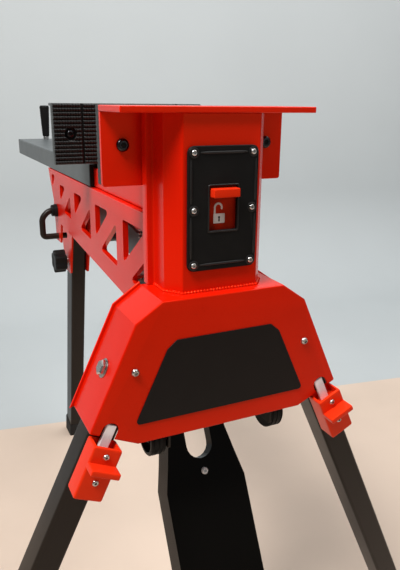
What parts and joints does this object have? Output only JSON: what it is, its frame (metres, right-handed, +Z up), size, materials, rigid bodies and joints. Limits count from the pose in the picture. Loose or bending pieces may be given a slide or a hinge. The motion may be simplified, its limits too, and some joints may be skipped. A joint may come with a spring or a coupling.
{
  "type": "folding clamping workbench",
  "caption": "Folding clamping workbench on a tripod of splayed legs, with a pedal-driven sliding jaw on a truss chassis, a slide-switch jaw release, leg latches and transport rollers.",
  "frame": {"origin": "middle of the bench's footprint, on the floor", "axes": "+X to the right of a person who works the pedal, +Y from the column back along the beam, +Z up"},
  "size_m": [0.8172, 1.187, 0.87],
  "materials": {
    "red_paint": "satin powder coat",
    "grey_paint": "fine textured powder coat",
    "black_paint": "satin powder coat",
    "black_plastic": "fine moulded grain",
    "red_plastic": "smooth moulded",
    "rubber": "matte",
    "zinc_steel": "bright zinc plate"
  },
  "bodies": {
    "bench": {"column": "red_paint", "column_back": "red_paint", "top_plate": "red_paint", "fixed_jaw_plate": "red_paint", "fixed_jaw_pad": "black_plastic", "fixed_jaw_bolt_left": "black_paint", "fixed_jaw_bolt_right": "black_paint", "switch_panel": "black_plastic", "housing": "red_paint", "label_plate": "black_plastic", "leg_pivot_bolt_left": "zinc_steel", "leg_pivot_bolt_right": "zinc_steel", "wheel_axle": "black_paint", "chassis_left": "red_paint", "chassis_right": "red_paint", "chassis_tie": "grey_paint", "rear_cross_plate": "red_paint", "rail": "red_paint", "rear_glide": "black_plastic", "rear_fork_left": "red_paint", "rear_fork_right": "red_paint", "rear_pivot_bolt": "zinc_steel", "lock_barrel": "black_plastic", "pedal_pivot": "zinc_steel", "pedal_spring": "zinc_steel"},
    "moving_jaw": {"slide_beam": "grey_paint", "front_glide": "black_plastic", "beam_end_cap": "black_plastic", "draw_bar": "zinc_steel", "moving_jaw_pad": "black_plastic", "moving_jaw_plate": "grey_paint", "moving_jaw_bolt_left": "black_paint", "moving_jaw_bolt_right": "black_paint", "jaw_bracket": "grey_paint", "handle_stud": "zinc_steel"},
    "pull_handle": {"handle_grip": "black_plastic"},
    "release_switch": {"release_slider": "red_plastic"},
    "release_push_rod": {"release_rod": "zinc_steel"},
    "locking_plate": {"lock_plate": "zinc_steel"},
    "left_leg": {"front_leg_left": "black_paint", "front_foot_left": "rubber"},
    "right_leg": {"front_leg_right": "black_paint", "front_foot_right": "rubber"},
    "left_latch": {"latch_slider_left": "red_plastic", "latch_tongue_left": "zinc_steel"},
    "right_latch": {"latch_slider_right": "red_plastic", "latch_tongue_right": "zinc_steel"},
    "back_leg": {"rear_leg": "black_paint", "rear_foot": "rubber"},
    "knob": {"clamp_knob": "black_plastic", "clamp_screw": "zinc_steel"},
    "pull": {"lock_pull": "black_paint"},
    "foot_pedal": {"pedal": "black_paint", "pedal_tread": "rubber", "pedal_screw": "zinc_steel", "pedal_crank": "black_paint"},
    "drive": {"drive_rod": "zinc_steel"},
    "left_wheel": {"wheel_left": "black_plastic"},
    "right_wheel": {"wheel_right": "black_plastic"}
  },
  "joints": [
    {"name": "jaw_slide", "type": "slide", "parent": "bench", "child": "moving_jaw", "axis": [0, 1, 0], "range_m": [-0.2275, 0.22]},
    {"name": "handle_spin", "type": "hinge", "parent": "moving_jaw", "child": "pull_handle", "pos_m": [0, 0.56453, 0.784], "axis": [0, 0, 1], "continuous": true},
    {"name": "release_slide", "type": "slide", "parent": "bench", "child": "release_switch", "axis": [0, 0, -1], "range_m": [0, 0.03]},
    {"name": "release_rod_push", "type": "slide", "parent": "bench", "child": "release_push_rod", "axis": [0, 1, 0], "range_m": [0, 0.0101]},
    {"name": "lock_plate_tilt", "type": "hinge", "parent": "bench", "child": "locking_plate", "pos_m": [0, 0.22053, 0.763], "axis": [1, 0, 0], "range_deg": [0, 16]},
    {"name": "left_leg_fold", "type": "hinge", "parent": "bench", "child": "left_leg", "pos_m": [-0.12359, -0.40247, 0.56085], "axis": [0.9063, 0, -0.4226], "range_deg": [0, 90]},
    {"name": "right_leg_fold", "type": "hinge", "parent": "bench", "child": "right_leg", "pos_m": [0.12359, -0.40247, 0.56085], "axis": [0.9063, 0, 0.4226], "range_deg": [0, 90]},
    {"name": "left_latch_slide", "type": "slide", "parent": "left_leg", "child": "left_latch", "axis": [-0.4226, 0, -0.9063], "range_m": [0, 0.015], "stiffness_N_per_m": 400, "springref_m": -0.01},
    {"name": "right_latch_slide", "type": "slide", "parent": "right_leg", "child": "right_latch", "axis": [0.4226, 0, -0.9063], "range_m": [0, 0.015], "stiffness_N_per_m": 400, "springref_m": -0.01},
    {"name": "rear_leg_fold", "type": "hinge", "parent": "bench", "child": "back_leg", "pos_m": [0, 0.28123, 0.625], "axis": [-1, 0, 0], "range_deg": [0, 92]},
    {"name": "clamp_knob_turn", "type": "hinge", "parent": "bench", "child": "knob", "pos_m": [-0.0215, 0.30053, 0.5195], "axis": [-1, 0, 0], "continuous": true},
    {"name": "lock_pull_slide", "type": "slide", "parent": "bench", "child": "pull", "axis": [-1, 0, 0], "range_m": [0, 0.013], "stiffness_N_per_m": 600, "springref_m": -0.008},
    {"name": "pedal_press", "type": "hinge", "parent": "bench", "child": "foot_pedal", "pos_m": [0, -0.23447, 0.6275], "axis": [1, 0, 0], "range_deg": [0, 16], "stiffness_Nm_per_rad": 20, "springref_deg": -14.32, "deforming": ["pedal_spring"]},
    {"name": "drive_slide", "type": "slide", "parent": "bench", "child": "drive", "axis": [0, -1, 0], "range_m": [0, 0.0285]},
    {"name": "left_wheel_spin", "type": "hinge", "parent": "bench", "child": "left_wheel", "pos_m": [-0.086, -0.40497, 0.468], "axis": [1, 0, 0], "continuous": true},
    {"name": "right_wheel_spin", "type": "hinge", "parent": "bench", "child": "right_wheel", "pos_m": [0.086, -0.40497, 0.468], "axis": [1, 0, 0], "continuous": true}
  ],
  "couplings": [
    {"joint": "release_rod_push", "follows": "release_slide", "ratio": 0.33333},
    {"joint": "lock_plate_tilt", "follows": "release_slide", "rad_per_m": 9.2},
    {"joint": "drive_slide", "follows": "pedal_press", "m_per_rad": 0.1}
  ]
}
